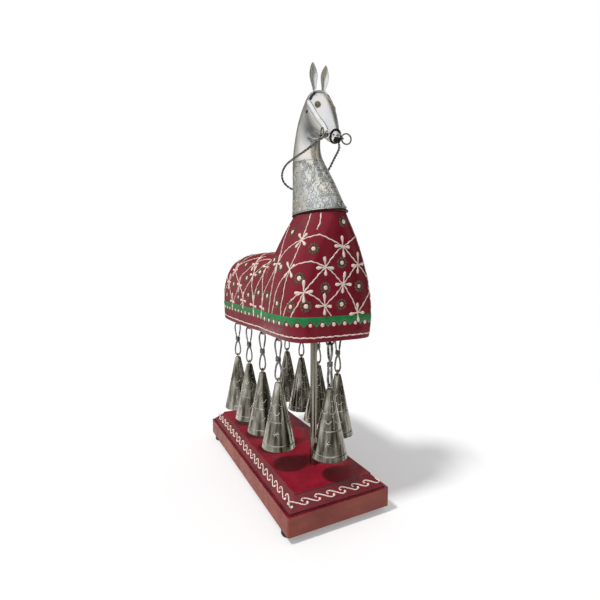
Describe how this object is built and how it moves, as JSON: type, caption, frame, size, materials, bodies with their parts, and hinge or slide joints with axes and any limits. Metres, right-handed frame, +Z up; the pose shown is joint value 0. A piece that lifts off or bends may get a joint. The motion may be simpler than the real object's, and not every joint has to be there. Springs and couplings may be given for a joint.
{
  "type": "horse ornament with bells",
  "caption": "Folk horse ornament: a painted wooden body with a silver sheet-metal neck and head stands on a rod over a moulded plinth, and cone bells hang below it on twisted wire links.",
  "frame": {"origin": "on the ground under the middle of the plinth", "axes": "+X the way the horse looks, +Y its left side, +Z up"},
  "size_m": [0.168, 0.072, 0.2835],
  "materials": {
    "body_paint": "gloss crimson enamel on wood",
    "plinth_paint": "gloss dark red enamel on wood",
    "bare_wood": "bare turned wood, hidden",
    "silver_sheet": "polished sheet with hand engraving and slight wear",
    "pewter": "rolled sheet with scratched lines, warm grey",
    "steel": "drawn bright steel",
    "dark_wire": "dark drawn wire",
    "black_band": "blackened strip",
    "rubber": "matt dark rubber"
  },
  "bodies": {
    "stand": {"plinth": "plinth_paint", "rubber_feet": "rubber", "support_rod": "steel", "rod_washer": "steel", "rod_nut": "steel", "body": "body_paint", "neck_core": "bare_wood", "neck_shell": "silver_sheet", "neck_nails": "steel", "head": "silver_sheet", "ear_left": "silver_sheet", "ear_right": "silver_sheet", "browband": "black_band", "cheek_strap_left": "silver_sheet", "cheek_strap_right": "silver_sheet", "noseband": "black_band", "bit_bar": "dark_wire", "hanger_staples": "dark_wire"},
    "rein": {"rein": "dark_wire"},
    "bit_ring_left": {"bit_ring_left": "dark_wire"},
    "bit_ring_right": {"bit_ring_right": "dark_wire"},
    "link_1": {"link_1": "dark_wire"},
    "bell_1": {"bell_1": "pewter"},
    "clapper_1": {"clapper_1": "steel"},
    "link_2": {"link_2": "dark_wire"},
    "bell_2": {"bell_2": "pewter"},
    "clapper_2": {"clapper_2": "steel"},
    "link_3": {"link_3": "dark_wire"},
    "bell_3": {"bell_3": "pewter"},
    "clapper_3": {"clapper_3": "steel"},
    "link_4": {"link_4": "dark_wire"},
    "bell_4": {"bell_4": "pewter"},
    "clapper_4": {"clapper_4": "steel"},
    "link_5": {"link_5": "dark_wire"},
    "bell_5": {"bell_5": "pewter"},
    "clapper_5": {"clapper_5": "steel"},
    "link_6": {"link_6": "dark_wire"},
    "bell_6": {"bell_6": "pewter"},
    "clapper_6": {"clapper_6": "steel"},
    "link_7": {"link_7": "dark_wire"},
    "bell_7": {"bell_7": "pewter"},
    "clapper_7": {"clapper_7": "steel"},
    "link_8": {"link_8": "dark_wire"},
    "bell_8": {"bell_8": "pewter"},
    "clapper_8": {"clapper_8": "steel"},
    "link_9": {"link_9": "dark_wire"},
    "bell_9": {"bell_9": "pewter"},
    "clapper_9": {"clapper_9": "steel"}
  },
  "joints": [
    {"name": "rein_tilt", "type": "hinge", "parent": "stand", "child": "rein", "pos_m": [0.0689, 0, 0.23556], "axis": [0, 1, 0], "range_deg": [-10, 25]},
    {"name": "bit_ring_left_swing", "type": "hinge", "parent": "stand", "child": "bit_ring_left", "pos_m": [0.0689, 0.00724, 0.23556], "axis": [0, 0, -1], "range_deg": [-20, 65]},
    {"name": "bit_ring_right_swing", "type": "hinge", "parent": "stand", "child": "bit_ring_right", "pos_m": [0.0689, -0.00724, 0.23556], "axis": [0, 0, -1], "range_deg": [-8, 85]},
    {"name": "link_1_sway", "type": "hinge", "parent": "stand", "child": "link_1", "pos_m": [-0.044, -0.023, 0.1107], "axis": [-1, 0, 0], "range_deg": [-8, 60]},
    {"name": "bell_1_swing", "type": "hinge", "parent": "link_1", "child": "bell_1", "pos_m": [-0.044, -0.023, 0.084], "axis": [0, -1, 0], "range_deg": [-6, 6]},
    {"name": "clapper_1_swing", "type": "hinge", "parent": "bell_1", "child": "clapper_1", "pos_m": [-0.044, -0.023, 0.07465], "axis": [1, 0, 0], "range_deg": [-10, 10]},
    {"name": "link_2_sway", "type": "hinge", "parent": "stand", "child": "link_2", "pos_m": [-0.0155, -0.023, 0.1107], "axis": [-1, 0, 0], "range_deg": [-8, 60]},
    {"name": "bell_2_swing", "type": "hinge", "parent": "link_2", "child": "bell_2", "pos_m": [-0.0155, -0.023, 0.084], "axis": [0, -1, 0], "range_deg": [-6, 6]},
    {"name": "clapper_2_swing", "type": "hinge", "parent": "bell_2", "child": "clapper_2", "pos_m": [-0.0155, -0.023, 0.07465], "axis": [1, 0, 0], "range_deg": [-10, 10]},
    {"name": "link_3_sway", "type": "hinge", "parent": "stand", "child": "link_3", "pos_m": [0.013, -0.023, 0.1107], "axis": [-1, 0, 0], "range_deg": [-8, 60]},
    {"name": "bell_3_swing", "type": "hinge", "parent": "link_3", "child": "bell_3", "pos_m": [0.013, -0.023, 0.084], "axis": [0, -1, 0], "range_deg": [-6, 6]},
    {"name": "clapper_3_swing", "type": "hinge", "parent": "bell_3", "child": "clapper_3", "pos_m": [0.013, -0.023, 0.07465], "axis": [1, 0, 0], "range_deg": [-10, 10]},
    {"name": "link_4_sway", "type": "hinge", "parent": "stand", "child": "link_4", "pos_m": [0.0415, -0.023, 0.1107], "axis": [-1, 0, 0], "range_deg": [-8, 60]},
    {"name": "bell_4_swing", "type": "hinge", "parent": "link_4", "child": "bell_4", "pos_m": [0.0415, -0.023, 0.084], "axis": [0, -1, 0], "range_deg": [-6, 6]},
    {"name": "clapper_4_swing", "type": "hinge", "parent": "bell_4", "child": "clapper_4", "pos_m": [0.0415, -0.023, 0.07465], "axis": [1, 0, 0], "range_deg": [-10, 10]},
    {"name": "link_5_sway", "type": "hinge", "parent": "stand", "child": "link_5", "pos_m": [-0.044, 0.023, 0.1107], "axis": [1, 0, 0], "range_deg": [-8, 60]},
    {"name": "bell_5_swing", "type": "hinge", "parent": "link_5", "child": "bell_5", "pos_m": [-0.044, 0.023, 0.084], "axis": [0, -1, 0], "range_deg": [-6, 6]},
    {"name": "clapper_5_swing", "type": "hinge", "parent": "bell_5", "child": "clapper_5", "pos_m": [-0.044, 0.023, 0.07465], "axis": [1, 0, 0], "range_deg": [-10, 10]},
    {"name": "link_6_sway", "type": "hinge", "parent": "stand", "child": "link_6", "pos_m": [-0.0155, 0.023, 0.1107], "axis": [1, 0, 0], "range_deg": [-8, 60]},
    {"name": "bell_6_swing", "type": "hinge", "parent": "link_6", "child": "bell_6", "pos_m": [-0.0155, 0.023, 0.084], "axis": [0, -1, 0], "range_deg": [-6, 6]},
    {"name": "clapper_6_swing", "type": "hinge", "parent": "bell_6", "child": "clapper_6", "pos_m": [-0.0155, 0.023, 0.07465], "axis": [1, 0, 0], "range_deg": [-10, 10]},
    {"name": "link_7_sway", "type": "hinge", "parent": "stand", "child": "link_7", "pos_m": [0.013, 0.023, 0.1107], "axis": [1, 0, 0], "range_deg": [-8, 60]},
    {"name": "bell_7_swing", "type": "hinge", "parent": "link_7", "child": "bell_7", "pos_m": [0.013, 0.023, 0.084], "axis": [0, -1, 0], "range_deg": [-6, 6]},
    {"name": "clapper_7_swing", "type": "hinge", "parent": "bell_7", "child": "clapper_7", "pos_m": [0.013, 0.023, 0.07465], "axis": [1, 0, 0], "range_deg": [-10, 10]},
    {"name": "link_8_sway", "type": "hinge", "parent": "stand", "child": "link_8", "pos_m": [0.069, 0, 0.1107], "axis": [0, -1, 0], "range_deg": [-4, 60]},
    {"name": "bell_8_swing", "type": "hinge", "parent": "link_8", "child": "bell_8", "pos_m": [0.069, 0, 0.084], "axis": [1, 0, 0], "range_deg": [-10, 10]},
    {"name": "clapper_8_swing", "type": "hinge", "parent": "bell_8", "child": "clapper_8", "pos_m": [0.069, 0, 0.07465], "axis": [0, 1, 0], "range_deg": [-10, 10]},
    {"name": "link_9_sway", "type": "hinge", "parent": "stand", "child": "link_9", "pos_m": [0.0415, 0.023, 0.1107], "axis": [1, 0, 0], "range_deg": [-8, 60]},
    {"name": "bell_9_swing", "type": "hinge", "parent": "link_9", "child": "bell_9", "pos_m": [0.0415, 0.023, 0.084], "axis": [0, -1, 0], "range_deg": [-6, 6]},
    {"name": "clapper_9_swing", "type": "hinge", "parent": "bell_9", "child": "clapper_9", "pos_m": [0.0415, 0.023, 0.07465], "axis": [1, 0, 0], "range_deg": [-10, 10]}
  ]
}
